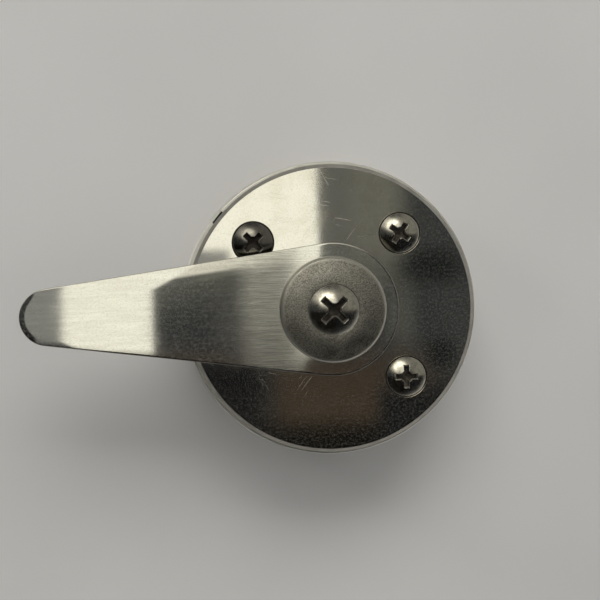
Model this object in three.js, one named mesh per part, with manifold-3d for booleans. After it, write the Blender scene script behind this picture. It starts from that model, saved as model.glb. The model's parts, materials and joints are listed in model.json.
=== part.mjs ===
// A lever turn handle on a round surface housing.
//
// The housing is a shallow drum that lies against a sash or frame. A cover plate closes its front
// and is held by three raised countersunk screws. A spindle runs through the drum on the Z axis:
// its front end carries the lever, clamped under a hub washer and a centre screw, and its rear end
// is a flat seat with two tapped holes, for the cam or crank that the handle works. Inside, a
// slotted disc and a pin limit the turn to a quarter, and a wave spring draws the lever down on a
// friction washer, so the lever stays where it is put.
//
// Units are millimetres. The origin is the centre of the flat back face, +Z points out of the
// front along the spindle, and the lever points along -X when it is at rest.
import * as THREE from "three";
import { mergeVertices } from "three/addons/utils/BufferGeometryUtils.js";
import Module from "manifold-3d";

const wasm = await Module();
wasm.setup();

// ---------------------------------------------------------------- driving dimensions

const FULL_TURN = 2 * Math.PI;
const FINE = 60; // sides of the drum and its cover
const MEDIUM = 40; // sides of the bearings, washers and lever ends
const SMALL = 24; // sides of the screws, pins and holes
const RUNNING_GAP = 0.09; // radial clearance where one piece turns in another
const SEAT_GAP = 0.05; // clearance between pieces that are pressed or laid together

const PLATE_RADIUS = 32.65;
const PLATE_THICKNESS = 2.5;
const PLATE_CHAMFER = 0.8;
const GASKET_THICKNESS = 0.3;

const HOUSING_HEIGHT = 17.2;
const HOUSING_FRONT_RADIUS = 33.35;
const HOUSING_BACK_RADIUS = 34.1;
const CAVITY_RADIUS = 29.5;
const FLOOR_THICKNESS = 4.0;
const BEARING_BOSS = { radius: 11.5, top: 6.0 };
const PRY_NOTCH = { angle: 139.8, length: 3.3, depth: 1.3, height: 1.2 };

const COVER_SCREW_ANGLES = [138.4, 46.4, -43.4]; // degrees; the fourth quarter has no screw
const COVER_SCREW_TURNS = [45, 55, 0]; // degrees, how far each cross recess is turned
const COVER_SCREW_CIRCLE = 23.1;
const FIXING_HOLE_ANGLES = [0, 90, 180, 270];
const FIXING_HOLE_CIRCLE = 23.5;
const FIXING_HOLE = { radius: 2.75, headRadius: 5.2, countersinkDepth: 2.45 };

// Raised countersunk screws: M5 for the cover and M6 in the centre of the lever.
// head and shank are radii, cone and dome are heights, and cross, slot and bite are the recess's
// span, width and depth.
const M5_SCREW = {
  head: 4.5,
  cone: 2.1,
  dome: 1.2,
  shank: 2.4,
  length: 12,
  cross: 5.0,
  slot: 1.1,
  bite: 1.9,
};
const M6_SCREW = {
  head: 5.65,
  cone: 2.6,
  dome: 1.6,
  shank: 2.45,
  length: 14,
  cross: 7.0,
  slot: 1.3,
  bite: 2.6,
};

const LEVER_THICKNESS = 3.0;
const LEVER_HUB_RADIUS = 14.85;
const LEVER_TIP_RADIUS = 6.25;
const LEVER_LENGTH = 62.45; // from the spindle axis to the centre of the rounded tip
const LEVER_BEND_AT = 16.5; // the arm is flat from the axis to here, then rises towards the tip
const LEVER_RISE = THREE.MathUtils.degToRad(3.6);
const LEVER_SWEEP = 90; // degrees from rest to the other stop

// The washer is flat inside the radius flat, and falls by crown from there to its rounded edge.
const HUB_WASHER = { radius: 11.85, thickness: 3.2, edge: 0.9, flat: 7.4, crown: 0.55 };
const FRICTION_WASHER = { radius: 10.5, thickness: 0.6 };
const SPACER = { radius: 11.0, height: 1.2 };

const REAR_JOURNAL = 7.0;
const FRONT_JOURNAL = 6.5;
const SHOULDER = { radius: 9.0, bottom: 11.1, top: 12.6 };
const SPINDLE_FLATS = 12.0; // across the two flats that drive the stop disc
const SPINDLE_SQUARE = 9.0; // across the square that drives the lever
const SPINDLE_THREAD = 2.6; // radius of the tapped hole for the centre screw
const CAM_HOLE = { radius: 1.65, offset: 4.2, depth: 9.0 }; // two, on the X axis of the rear end
const RING_GROOVE = { radius: 6.2, bottom: 7.2, top: 8.05 };
const O_RING = { seat: 5.5, wire: 0.5, bottom: 18.0, top: 19.3 };

const REAR_BUSH = { radius: 9.0, flange: 11.0, bottom: 1.0, flangeThickness: 1.0 };
const FRONT_BUSH = { radius: 8.5, flange: 11.0, flangeThickness: 1.9 };
const STOP_DISC = { radius: 17.0, bottom: 8.15, top: 11.0 };
const STOP_PIN = { radius: 1.75, circle: 13.5, bottom: 1.5, top: 10.6 };
const THRUST_WASHER_THICKNESS = 1.0;
const WAVE_SPRING = { inner: 7.2, outer: 8.9, thickness: 0.4, waves: 3 };

// Heights of the faces that the pieces stack on.
const PLATE_BACK = HOUSING_HEIGHT + GASKET_THICKNESS;
const PLATE_FRONT = PLATE_BACK + PLATE_THICKNESS;
const SPACER_BACK = PLATE_FRONT + FRICTION_WASHER.thickness;
const LEVER_BACK = SPACER_BACK + SPACER.height;
const LEVER_FRONT = LEVER_BACK + LEVER_THICKNESS;
const HUB_FRONT = LEVER_FRONT + HUB_WASHER.thickness;
const SPINDLE_FRONT = LEVER_FRONT - 0.2;

// ---------------------------------------------------------------- materials

const metal = (color, roughness) => new THREE.MeshStandardMaterial({ color, roughness, metalness: 1 });
const soft = (color, roughness) => new THREE.MeshStandardMaterial({ color, roughness, metalness: 0 });

const polishedSteel = metal(0xb9b4a8, 0.18);
const brushedSteel = metal(0xb3aea2, 0.32);
const blastedSteel = metal(0x8f8b83, 0.62);
const screwSteel = metal(0xa39d92, 0.28);
const machinedSteel = metal(0x9a9a98, 0.4);
const springSteel = metal(0x6f7276, 0.35);
const bronze = metal(0xa9844a, 0.4);
const blackRubber = soft(0x1b1b1c, 0.85);
const whiteNylon = soft(0xd9d6cc, 0.55);

// ---------------------------------------------------------------- shapes and solids

const radians = (degrees) => THREE.MathUtils.degToRad(degrees);

// The point at a given angle, in degrees, on a circle about the spindle axis.
const onCircle = (radius, angle) =>
  new THREE.Vector2(radius * Math.cos(radians(angle)), radius * Math.sin(radians(angle)));

// A profile of [radius, height] points, counterclockwise, turned about the Z axis. A profile that
// doesn't start on the axis closes on itself and makes a ring.
function turned(profile, sides = MEDIUM) {
  const points = profile.map(([radius, height]) => new THREE.Vector2(radius, height));
  if (profile[0][0] > 0) points.push(points[0].clone());
  return new THREE.LatheGeometry(points, sides).rotateX(Math.PI / 2);
}

// A flat shape in the XY plane, given thickness between two heights.
function prism(shape, bottom, top, curveSegments) {
  const options = { depth: top - bottom, bevelEnabled: false, curveSegments };
  return new THREE.ExtrudeGeometry(shape, options).translate(0, 0, bottom);
}

const rod = (radius, bottom, top, sides = SMALL) =>
  turned([[0, bottom], [radius, bottom], [radius, top], [0, top]], sides);

const tube = (inner, outer, bottom, top, sides = MEDIUM) =>
  turned([[inner, bottom], [outer, bottom], [outer, top], [inner, top]], sides);

const block = (width, depth, bottom, top) =>
  new THREE.BoxGeometry(width, depth, top - bottom).translate(0, 0, (bottom + top) / 2);

// A closed geometry as a manifold solid. Triangles that shrink to a line at the axis are dropped.
function solid(geometry) {
  const bare = geometry.clone();
  bare.deleteAttribute("normal");
  bare.deleteAttribute("uv");
  const merged = mergeVertices(bare, 1e-4);
  const corners = merged.index.array;
  const triVerts = [];
  for (let i = 0; i < corners.length; i += 3) {
    const [a, b, c] = corners.slice(i, i + 3);
    if (a !== b && b !== c && c !== a) triVerts.push(a, b, c);
  }
  return new wasm.Manifold(
    new wasm.Mesh({
      numProp: 3,
      vertProperties: merged.attributes.position.array,
      triVerts: new Uint32Array(triVerts),
    }),
  );
}

function geometryOf(body) {
  const { vertProperties, triVerts } = body.getMesh();
  const geometry = new THREE.BufferGeometry();
  geometry.setAttribute("position", new THREE.BufferAttribute(new Float32Array(vertProperties), 3));
  geometry.setIndex(new THREE.BufferAttribute(new Uint32Array(triVerts), 1));
  geometry.computeVertexNormals();
  return geometry;
}

// One geometry joined with some others, less the ones that are cut away.
function shaped(base, { joined = [], cut = [] }) {
  let body = solid(base);
  for (const extra of joined) body = body.add(solid(extra));
  for (const tool of cut) body = body.subtract(solid(tool));
  return geometryOf(body);
}

// ---------------------------------------------------------------- housing and cover

function housingGeometry() {
  const backChamfer = 0.6;
  const frontChamfer = 0.25;
  const innerFillet = 1.0;
  const bore = REAR_BUSH.radius + SEAT_GAP;
  const drum = turned([
    [bore, 0],
    [HOUSING_BACK_RADIUS - backChamfer, 0],
    [HOUSING_BACK_RADIUS, backChamfer],
    [HOUSING_FRONT_RADIUS, HOUSING_HEIGHT - frontChamfer],
    [HOUSING_FRONT_RADIUS - frontChamfer, HOUSING_HEIGHT],
    [CAVITY_RADIUS, HOUSING_HEIGHT],
    [CAVITY_RADIUS, FLOOR_THICKNESS + innerFillet],
    [CAVITY_RADIUS - innerFillet, FLOOR_THICKNESS],
    [BEARING_BOSS.radius, FLOOR_THICKNESS],
    [BEARING_BOSS.radius, BEARING_BOSS.top],
    [bore, BEARING_BOSS.top],
  ], FINE);

  // A pillar under each cover screw, tied to the wall by a rib.
  const pillarRadius = 5;
  const pillarBottom = FLOOR_THICKNESS - 1;
  const ribWidth = 5;
  const tappedDepth = 12;
  const joined = [];
  const cut = [];
  for (const angle of COVER_SCREW_ANGLES) {
    const place = onCircle(COVER_SCREW_CIRCLE, angle);
    const ribLength = CAVITY_RADIUS + 1 - COVER_SCREW_CIRCLE;
    const rib = block(ribLength, ribWidth, pillarBottom, HOUSING_HEIGHT)
      .translate(COVER_SCREW_CIRCLE + ribLength / 2, 0, 0)
      .rotateZ(radians(angle));
    const pillar = rod(pillarRadius, pillarBottom, HOUSING_HEIGHT).translate(place.x, place.y, 0);
    const tapped = rod(M5_SCREW.shank + 0.15, HOUSING_HEIGHT - tappedDepth, HOUSING_HEIGHT + 1);
    joined.push(rib, pillar);
    cut.push(tapped.translate(place.x, place.y, 0));
  }

  // Fixing holes through the floor, countersunk from inside, so the fixings hide under the cover.
  for (const angle of FIXING_HOLE_ANGLES) {
    const place = onCircle(FIXING_HOLE_CIRCLE, angle);
    const hole = turned([
      [0, -1],
      [FIXING_HOLE.radius, -1],
      [FIXING_HOLE.radius, FLOOR_THICKNESS - FIXING_HOLE.countersinkDepth],
      [FIXING_HOLE.headRadius, FLOOR_THICKNESS],
      [FIXING_HOLE.headRadius, FLOOR_THICKNESS + 2],
      [0, FLOOR_THICKNESS + 2],
    ], SMALL);
    cut.push(hole.translate(place.x, place.y, 0));
  }

  const pinHole = rod(STOP_PIN.radius + SEAT_GAP, STOP_PIN.bottom, FLOOR_THICKNESS + 1);
  cut.push(
    pinHole.translate(STOP_PIN.circle, 0, 0),
    block(2 * PRY_NOTCH.depth, PRY_NOTCH.length, HOUSING_HEIGHT - PRY_NOTCH.height, HOUSING_HEIGHT + 1)
      .translate(HOUSING_FRONT_RADIUS, 0, 0)
      .rotateZ(radians(PRY_NOTCH.angle)),
  );
  return shaped(drum, { joined, cut });
}

function coverPlateGeometry() {
  const bore = FRONT_BUSH.radius + SEAT_GAP;
  const disc = turned([
    [bore, PLATE_BACK],
    [PLATE_RADIUS - 0.15, PLATE_BACK],
    [PLATE_RADIUS, PLATE_BACK + 0.15],
    [PLATE_RADIUS, PLATE_FRONT - PLATE_CHAMFER],
    [PLATE_RADIUS - PLATE_CHAMFER, PLATE_FRONT],
    [bore, PLATE_FRONT],
  ], FINE);
  const cut = COVER_SCREW_ANGLES.map((angle) => {
    const place = onCircle(COVER_SCREW_CIRCLE, angle);
    return screwSeat(M5_SCREW, PLATE_BACK - 1, PLATE_FRONT).translate(place.x, place.y, 0);
  });
  return shaped(disc, { cut });
}

const coverGasketGeometry = () =>
  tube(CAVITY_RADIUS + 0.3, PLATE_RADIUS - 0.3, HOUSING_HEIGHT, PLATE_BACK, FINE);

// ---------------------------------------------------------------- screws

// The head's dome, its cone and the shank, with the rim of the head at height 0.
function screwGeometry({ head, cone, dome, shank, length, cross, slot, bite }) {
  const ballRadius = (head * head + dome * dome) / (2 * dome);
  const domeSteps = 3;
  const halfAngle = Math.asin(head / ballRadius);
  const crown = Array.from({ length: domeSteps + 1 }, (_, step) => {
    const angle = halfAngle * (1 - step / domeSteps);
    return [ballRadius * Math.sin(angle), dome - ballRadius * (1 - Math.cos(angle))];
  });
  crown[domeSteps][0] = 0;
  const tipChamfer = 0.6;
  const body = turned([
    [0, -length],
    [shank - tipChamfer, -length],
    [shank, -length + tipChamfer],
    [shank, -cone],
    [head, -0.12],
    ...crown,
  ], SMALL);

  // A cross recess: two blocks that taper to the middle of the screw.
  const wing = () => {
    const outline = new THREE.Shape([
      new THREE.Vector2(-cross / 2, dome + 1),
      new THREE.Vector2(-cross / 2, dome * 0.5),
      new THREE.Vector2(-slot / 2, dome - bite),
      new THREE.Vector2(slot / 2, dome - bite),
      new THREE.Vector2(cross / 2, dome * 0.5),
      new THREE.Vector2(cross / 2, dome + 1),
    ]);
    const flat = new THREE.ExtrudeGeometry(outline, { depth: slot, bevelEnabled: false });
    return flat.translate(0, 0, -slot / 2).rotateX(Math.PI / 2);
  };
  return shaped(body, { cut: [wing(), wing().rotateZ(Math.PI / 2)] });
}

// The space that a screw needs in the piece it clamps: a clearance hole and a countersink whose
// mouth is at the height `front`.
function screwSeat({ head, cone, shank }, back, front) {
  const clearance = 0.2;
  return turned([
    [0, back],
    [shank + clearance, back],
    [shank + clearance, front - cone - clearance],
    [head + clearance, front - clearance],
    [head + clearance, front + 2],
    [0, front + 2],
  ], SMALL);
}

// ---------------------------------------------------------------- lever and its hub

function leverGeometry() {
  // Seen from the front: two round ends joined by the straight lines that touch both.
  const lean = Math.acos((LEVER_HUB_RADIUS - LEVER_TIP_RADIUS) / LEVER_LENGTH);
  const touch = Math.PI - lean;
  const outline = new THREE.Shape();
  outline.absarc(0, 0, LEVER_HUB_RADIUS, -touch, touch, false);
  outline.absarc(-LEVER_LENGTH, 0, LEVER_TIP_RADIUS, touch, FULL_TURN - touch, false);

  // Seen from the side: a flat strip that bends upwards beyond the hub.
  const reach = LEVER_LENGTH + LEVER_TIP_RADIUS + 2;
  const rise = (reach - LEVER_BEND_AT) * Math.tan(LEVER_RISE);
  const width = 2 * LEVER_HUB_RADIUS + 2;
  const side = new THREE.Shape([
    new THREE.Vector2(LEVER_HUB_RADIUS + 1, LEVER_BACK),
    new THREE.Vector2(LEVER_HUB_RADIUS + 1, LEVER_FRONT),
    new THREE.Vector2(-LEVER_BEND_AT, LEVER_FRONT),
    new THREE.Vector2(-reach, LEVER_FRONT + rise),
    new THREE.Vector2(-reach, LEVER_BACK + rise),
    new THREE.Vector2(-LEVER_BEND_AT, LEVER_BACK),
  ]);
  const strip = new THREE.ExtrudeGeometry(side, { depth: width, bevelEnabled: false })
    .translate(0, 0, -width / 2)
    .rotateX(Math.PI / 2);

  const squareHole = SPINDLE_SQUARE + 0.15;
  const body = solid(prism(outline, LEVER_BACK - 1, LEVER_FRONT + rise + 1, MEDIUM / 2))
    .intersect(solid(strip))
    .subtract(solid(block(squareHole, squareHole, LEVER_BACK - 1, LEVER_FRONT + 1)));
  return geometryOf(body);
}

const leverSpacerGeometry = () =>
  tube(FRONT_JOURNAL + SEAT_GAP, SPACER.radius, SPACER_BACK, LEVER_BACK);

function hubWasherGeometry() {
  const { radius, edge, flat, crown } = HUB_WASHER;
  const edgeSteps = 3;
  const edgeTop = HUB_FRONT - crown;
  const rounded = Array.from({ length: edgeSteps + 1 }, (_, step) => {
    const angle = (Math.PI / 2) * (step / edgeSteps);
    return [radius - edge * (1 - Math.cos(angle)), edgeTop - edge * (1 - Math.sin(angle))];
  });
  const bore = M6_SCREW.shank + 0.2;
  const disc = turned([
    [bore, LEVER_FRONT],
    [radius, LEVER_FRONT],
    ...rounded,
    [flat, HUB_FRONT],
    [bore, HUB_FRONT],
  ]);
  return shaped(disc, { cut: [screwSeat(M6_SCREW, LEVER_FRONT - 1, HUB_FRONT)] });
}

// ---------------------------------------------------------------- spindle and its bearings

function spindleGeometry() {
  const shaft = turned([
    [0, 0],
    [REAR_JOURNAL, 0],
    [REAR_JOURNAL, RING_GROOVE.bottom],
    [RING_GROOVE.radius, RING_GROOVE.bottom],
    [RING_GROOVE.radius, RING_GROOVE.top],
    [REAR_JOURNAL, RING_GROOVE.top],
    [REAR_JOURNAL, SHOULDER.bottom],
    [SHOULDER.radius, SHOULDER.bottom],
    [SHOULDER.radius, SHOULDER.top],
    [FRONT_JOURNAL, SHOULDER.top],
    [FRONT_JOURNAL, O_RING.bottom],
    [O_RING.seat, O_RING.bottom],
    [O_RING.seat, O_RING.top],
    [FRONT_JOURNAL, O_RING.top],
    [FRONT_JOURNAL, LEVER_BACK],
    [0, LEVER_BACK],
  ]);
  const square = block(SPINDLE_SQUARE, SPINDLE_SQUARE, LEVER_BACK - 1, SPINDLE_FRONT);
  const camHoles = [1, -1].map((way) =>
    rod(CAM_HOLE.radius, -1, CAM_HOLE.depth).translate(way * CAM_HOLE.offset, 0, 0),
  );
  const tapped = rod(SPINDLE_THREAD, HUB_FRONT - M6_SCREW.length - 0.6, SPINDLE_FRONT + 1);
  const flatDepth = 3;
  const flats = [1, -1].map((way) =>
    block(2 * SHOULDER.radius, flatDepth, -1, SHOULDER.bottom)
      .translate(0, way * (SPINDLE_FLATS / 2 + flatDepth / 2), 0),
  );
  return shaped(shaft, { joined: [square], cut: [tapped, ...camHoles, ...flats] });
}

function retainingRingGeometry() {
  const inner = RING_GROOVE.radius + 0.15;
  const outer = REAR_JOURNAL + 2.2;
  const halfOpening = radians(28);
  const ring = new THREE.Shape();
  ring.absarc(0, 0, outer, halfOpening, FULL_TURN - halfOpening, false);
  ring.absarc(0, 0, inner, FULL_TURN - halfOpening, halfOpening, true);
  return prism(ring, RING_GROOVE.bottom + SEAT_GAP, RING_GROOVE.top - SEAT_GAP, MEDIUM);
}

function spindleORingGeometry() {
  const middle = (O_RING.bottom + O_RING.top) / 2;
  const centre = O_RING.seat + SEAT_GAP + O_RING.wire;
  const wireSides = 8;
  const section = Array.from({ length: wireSides }, (_, side) => {
    const angle = (FULL_TURN * side) / wireSides;
    return [centre + O_RING.wire * Math.cos(angle), middle + O_RING.wire * Math.sin(angle)];
  });
  return turned(section);
}

const rearBushGeometry = () => {
  const bore = REAR_JOURNAL + RUNNING_GAP;
  const seat = BEARING_BOSS.top;
  return turned([
    [bore, REAR_BUSH.bottom],
    [REAR_BUSH.radius, REAR_BUSH.bottom],
    [REAR_BUSH.radius, seat],
    [REAR_BUSH.flange, seat],
    [REAR_BUSH.flange, seat + REAR_BUSH.flangeThickness],
    [bore, seat + REAR_BUSH.flangeThickness],
  ]);
};

const frontBushGeometry = () => {
  const bore = FRONT_JOURNAL + RUNNING_GAP;
  const flangeFront = PLATE_BACK - SEAT_GAP;
  const flangeBack = flangeFront - FRONT_BUSH.flangeThickness;
  return turned([
    [bore, flangeBack],
    [FRONT_BUSH.flange, flangeBack],
    [FRONT_BUSH.flange, flangeFront],
    [FRONT_BUSH.radius, flangeFront],
    [FRONT_BUSH.radius, PLATE_FRONT - SEAT_GAP],
    [bore, PLATE_FRONT - SEAT_GAP],
  ]);
};

// ---------------------------------------------------------------- stop, spring and washers

// The disc turns with the spindle. Its curved slot runs over the fixed pin, which stands on +X,
// and is as long as the lever's sweep, the pin's own width and a little clearance at each end.
function stopDiscGeometry() {
  const { radius, bottom, top } = STOP_DISC;
  const fit = 0.08;
  const hole = block(2 * (REAR_JOURNAL + fit), SPINDLE_FLATS + 2 * fit, bottom - 1, top + 1);
  const bore = rod(REAR_JOURNAL + fit, bottom - 1, top + 1, MEDIUM);
  const keyed = solid(bore).intersect(solid(hole));

  const halfWidth = STOP_PIN.radius + 0.4;
  const margin = THREE.MathUtils.radToDeg(Math.asin(STOP_PIN.radius / STOP_PIN.circle)) + 1.2;
  const first = radians(-LEVER_SWEEP - margin);
  const last = radians(margin);
  const slot = new THREE.Shape();
  slot.absarc(0, 0, STOP_PIN.circle + halfWidth, first, last, false);
  slot.absarc(0, 0, STOP_PIN.circle - halfWidth, last, first, true);

  const disc = solid(rod(radius, bottom, top, MEDIUM))
    .subtract(keyed)
    .subtract(solid(prism(slot, bottom - 1, top + 1, MEDIUM / 2)));
  return geometryOf(disc);
}

const stopPinGeometry = () =>
  turned([
    [0, STOP_PIN.bottom],
    [STOP_PIN.radius, STOP_PIN.bottom],
    [STOP_PIN.radius, STOP_PIN.top - 0.4],
    [STOP_PIN.radius - 0.4, STOP_PIN.top],
    [0, STOP_PIN.top],
  ], SMALL);

const thrustWasherGeometry = () => {
  const bottom = SHOULDER.top + SEAT_GAP;
  return tube(FRONT_JOURNAL + 0.3, SHOULDER.radius, bottom, bottom + THRUST_WASHER_THICKNESS);
};

// A flat ring whose height rises and falls in even waves between the thrust washer and the bush.
function waveSpringGeometry() {
  const { inner, outer, thickness, waves } = WAVE_SPRING;
  const below = SHOULDER.top + SEAT_GAP + THRUST_WASHER_THICKNESS;
  const above = PLATE_BACK - SEAT_GAP - FRONT_BUSH.flangeThickness;
  const swing = (above - below - thickness) / 2 - SEAT_GAP;
  const middle = (above + below) / 2;
  const ring = tube(inner, outer, middle - thickness / 2, middle + thickness / 2);
  const place = ring.attributes.position;
  for (let i = 0; i < place.count; i += 1) {
    const angle = Math.atan2(place.getY(i), place.getX(i));
    place.setZ(i, place.getZ(i) + swing * Math.sin(waves * angle));
  }
  return ring;
}

const frictionWasherGeometry = () =>
  tube(FRONT_JOURNAL + 0.2, FRICTION_WASHER.radius, PLATE_FRONT, SPACER_BACK);

// ---------------------------------------------------------------- assembly

function piece(name, geometry, material) {
  const mesh = new THREE.Mesh(geometry, material);
  mesh.name = name;
  return mesh;
}

// Everything that is fastened to the sash.
function fixedPieces() {
  const group = new THREE.Group();
  group.add(
    piece("housing", housingGeometry(), polishedSteel),
    piece("cover_gasket", coverGasketGeometry(), blackRubber),
    piece("cover_plate", coverPlateGeometry(), polishedSteel),
    piece("rear_bush", rearBushGeometry(), bronze),
    piece("front_bush", frontBushGeometry(), bronze),
    piece("stop_pin", stopPinGeometry().translate(STOP_PIN.circle, 0, 0), machinedSteel),
    piece("thrust_washer", thrustWasherGeometry(), machinedSteel),
    piece("wave_spring", waveSpringGeometry(), springSteel),
    piece("friction_washer", frictionWasherGeometry(), whiteNylon),
  );
  COVER_SCREW_ANGLES.forEach((angle, index) => {
    const screw = piece(`cover_screw_${index + 1}`, screwGeometry(M5_SCREW), screwSteel);
    const place = onCircle(COVER_SCREW_CIRCLE, angle);
    screw.position.set(place.x, place.y, PLATE_FRONT);
    screw.rotation.z = radians(COVER_SCREW_TURNS[index]);
    group.add(screw);
  });
  return group;
}

// Everything that turns with the lever.
function turningPieces() {
  const group = new THREE.Group();
  const centreScrew = piece("centre_screw", screwGeometry(M6_SCREW), screwSteel);
  centreScrew.position.z = HUB_FRONT;
  centreScrew.rotation.z = radians(45);
  group.add(
    piece("spindle", spindleGeometry(), machinedSteel),
    piece("spindle_o_ring", spindleORingGeometry(), blackRubber),
    piece("retaining_ring", retainingRingGeometry(), springSteel),
    piece("stop_disc", stopDiscGeometry(), machinedSteel),
    piece("lever_spacer", leverSpacerGeometry(), machinedSteel),
    piece("lever", leverGeometry(), brushedSteel),
    piece("hub_washer", hubWasherGeometry(), blastedSteel),
    centreScrew,
  );
  return group;
}

const handle = new THREE.Group();
handle.add(fixedPieces(), turningPieces());
export default handle;
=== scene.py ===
"""Looks for the lever turn handle: fine meshes for the pieces that show, their metals, and the studio.

Lengths are in metres, and angles in degrees. Places and sizes come from the CAD frame's boxes. The
details that a box can't tell, such as a fillet or a recess, are the named values below.
"""

import json
import math

import bpy
from mathutils import Matrix, Vector


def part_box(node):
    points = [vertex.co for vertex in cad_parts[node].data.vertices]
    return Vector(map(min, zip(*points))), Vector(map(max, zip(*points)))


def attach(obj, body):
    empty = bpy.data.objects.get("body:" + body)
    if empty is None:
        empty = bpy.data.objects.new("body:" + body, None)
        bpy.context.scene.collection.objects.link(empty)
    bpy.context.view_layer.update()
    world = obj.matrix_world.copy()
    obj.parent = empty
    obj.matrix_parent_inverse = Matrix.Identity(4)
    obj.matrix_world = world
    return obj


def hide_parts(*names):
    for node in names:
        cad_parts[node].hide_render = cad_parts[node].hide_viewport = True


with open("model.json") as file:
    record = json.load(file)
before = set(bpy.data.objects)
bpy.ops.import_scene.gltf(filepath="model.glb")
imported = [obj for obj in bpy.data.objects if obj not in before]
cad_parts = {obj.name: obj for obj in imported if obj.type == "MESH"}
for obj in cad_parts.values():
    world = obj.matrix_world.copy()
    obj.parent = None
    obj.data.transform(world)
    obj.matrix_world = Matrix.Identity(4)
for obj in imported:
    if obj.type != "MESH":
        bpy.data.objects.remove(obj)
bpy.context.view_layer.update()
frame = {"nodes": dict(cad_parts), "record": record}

MM = 0.001
FIXED = "housing_body"
TURNING = "lever_body"

# ---------------------------------------------------------------- sizes read from the frame


def extent(node):
    """The middle, the radius along X, and the lowest and highest point of a CAD node."""
    low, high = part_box(node)
    return (low + high) / 2, (high.x - low.x) / 2, low.z, high.z


_, DRUM_BACK_RADIUS, DRUM_BACK, DRUM_FRONT = extent("housing")
_, PLATE_RADIUS, PLATE_BACK, PLATE_FACE = extent("cover_plate")
_, GASKET_RADIUS, GASKET_BACK, GASKET_FRONT = extent("cover_gasket")
_, WASHER_RADIUS, WASHER_BACK, WASHER_FRONT = extent("hub_washer")
_, SPACER_RADIUS, SPACER_BACK, SPACER_FRONT = extent("lever_spacer")
_, FRICTION_RADIUS, FRICTION_BACK, FRICTION_FRONT = extent("friction_washer")

# ---------------------------------------------------------------- mesh tools


def mesh_piece(name, vertices, faces):
    """A new object from plain vertices and faces."""
    mesh = bpy.data.meshes.new(name)
    mesh.from_pydata(vertices, [], faces)
    mesh.update()
    piece = bpy.data.objects.new(name, mesh)
    bpy.context.scene.collection.objects.link(piece)
    return piece


def smooth(piece, sharp_above=38, keep_faces_flat=True):
    """Smooth shading whose large flat faces stay flat, with real corners left sharp."""
    piece.data.shade_smooth()
    piece.data.set_sharp_from_angle(angle=math.radians(sharp_above))
    if not keep_faces_flat:
        return piece
    weighted = piece.modifiers.new("flat_faces_stay_flat", "WEIGHTED_NORMAL")
    weighted.keep_sharp = True
    return piece


def rounded(corners, steps=5):
    """A closed outline of (radius, height) points from (radius, height, fillet) corners."""
    points = []
    for index, (radius, height, fillet) in enumerate(corners):
        corner = Vector((radius, height))
        if fillet == 0:
            points.append((radius, height))
            continue
        before = (Vector(corners[index - 1][:2]) - corner).normalized()
        after = (Vector(corners[(index + 1) % len(corners)][:2]) - corner).normalized()
        half = before.angle(after) / 2
        centre = corner + (before + after).normalized() * fillet / math.sin(half)
        start = corner + before * fillet / math.tan(half) - centre
        turn = (math.pi - 2 * half) * (1 if before.cross(after) < 0 else -1)
        for step in range(steps + 1):
            angle = turn * step / steps
            across = start.x * math.cos(angle) - start.y * math.sin(angle)
            up = start.x * math.sin(angle) + start.y * math.cos(angle)
            points.append((centre.x + across, centre.y + up))
    return points


def turned(name, outline, sides=160, at=(0, 0)):
    """An outline of (radius, height) points, counterclockwise, turned about an upright axis.

    A height may be a function of the place (x, y) around the axis instead of a number.
    """
    vertices, rings = [], []
    for radius, height in outline:
        ring = []
        for side in range(1 if radius < 1e-9 else sides):
            angle = math.tau * side / sides
            x, y = radius * math.cos(angle), radius * math.sin(angle)
            ring.append(len(vertices))
            vertices.append((at[0] + x, at[1] + y, height(x, y) if callable(height) else height))
        rings.append(ring * (sides // len(ring)))
    faces = []
    for lower, upper in zip(rings, rings[1:] + rings[:1]):
        for side in range(sides):
            after = (side + 1) % sides
            corners = (lower[side], lower[after], upper[after], upper[side])
            face = tuple(dict.fromkeys(corners))
            if len(face) > 2:
                faces.append(face)
    return mesh_piece(name, vertices, faces)


def box(name, low, high, turn=0):
    """A plain block, turned about the Z axis, to cut or join with."""
    angle = math.radians(turn)
    corners = []
    for z in (low[2], high[2]):
        for x, y in ((low[0], low[1]), (high[0], low[1]), (high[0], high[1]), (low[0], high[1])):
            spun = x * math.cos(angle) - y * math.sin(angle), x * math.sin(angle) + y * math.cos(angle)
            corners.append((*spun, z))
    faces = [(3, 2, 1, 0), (4, 5, 6, 7), (0, 1, 5, 4), (1, 2, 6, 5), (2, 3, 7, 6), (3, 0, 4, 7)]
    return mesh_piece(name, corners, faces)


def carve(piece, tools, operation="DIFFERENCE"):
    """Cuts the tools from the piece, or joins them to it, and removes them."""
    for tool in tools:
        cut = piece.modifiers.new("carve", "BOOLEAN")
        cut.operation = operation
        cut.solver = "EXACT"
        cut.object = tool
    bpy.context.view_layer.update()
    shaped = piece.evaluated_get(bpy.context.evaluated_depsgraph_get())
    mesh = bpy.data.meshes.new_from_object(shaped)
    piece.modifiers.clear()
    piece.data = mesh
    for tool in tools:
        bpy.data.objects.remove(tool)
    return piece


def dress(piece, body, node, material):
    """Puts the piece on its body in place of its CAD node, with its finish."""
    piece.data.materials.clear()
    piece.data.materials.append(material)
    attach(piece, body)
    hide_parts(node)
    return piece


# ---------------------------------------------------------------- material tools


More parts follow.
